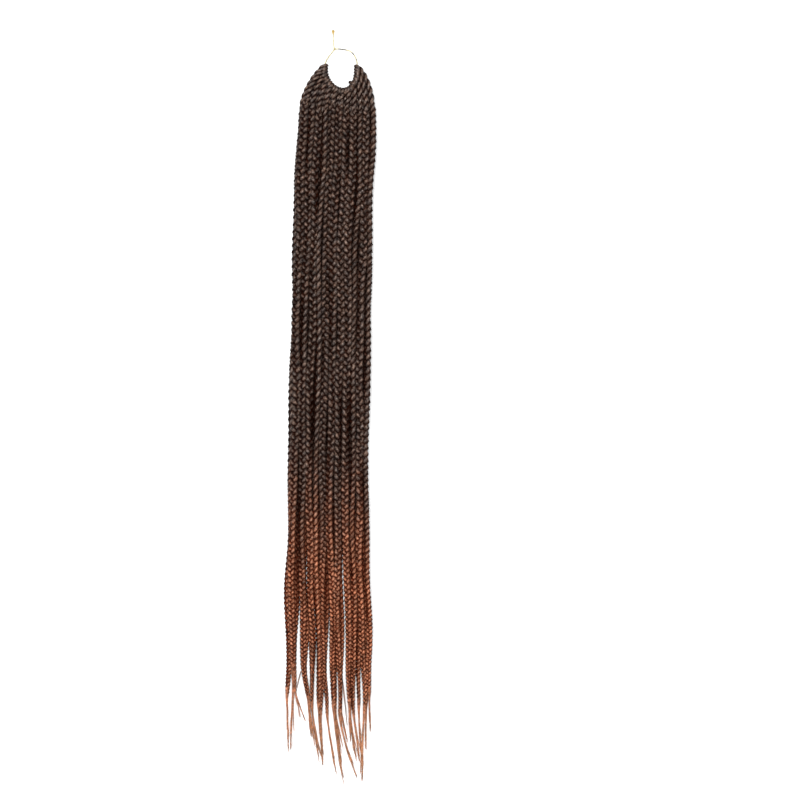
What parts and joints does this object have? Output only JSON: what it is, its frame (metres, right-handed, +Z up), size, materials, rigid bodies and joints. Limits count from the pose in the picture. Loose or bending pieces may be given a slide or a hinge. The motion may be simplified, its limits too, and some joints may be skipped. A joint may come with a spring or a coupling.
{
  "type": "crochet box braid hair extension",
  "caption": "Bundle of slim box braids lying flat, each folded over a tied metallic thread at the head, plaited down to loose tapering ends.",
  "frame": {"origin": "middle of the braids' bounding box, on the surface that they lie on", "axes": "+Y from the loose tips to the looped head, +X across the bundle, +Z up from the surface"},
  "size_m": [0.0768, 0.639, 0.0091],
  "materials": {
    "hair": "silky synthetic fibre, dark brown at the head fading to auburn at the tips",
    "metallic_thread": "pale gold metallised thread"
  },
  "bodies": {
    "root": {"braid_01": "hair", "braid_02": "hair", "braid_03": "hair", "braid_04": "hair", "braid_05": "hair", "braid_06": "hair", "braid_07": "hair", "braid_08": "hair", "braid_09": "hair", "braid_10": "hair", "braid_11": "hair", "braid_12": "hair", "braid_13": "hair", "braid_14": "hair", "braid_15": "hair", "braid_16": "hair", "braid_17": "hair", "braid_18": "hair", "braid_19": "hair", "braid_20": "hair", "braid_21": "hair", "braid_22": "hair", "thread_loop": "metallic_thread", "thread_tail": "metallic_thread", "tie_knot": "metallic_thread", "end_knot": "metallic_thread"}
  },
  "joints": []
}
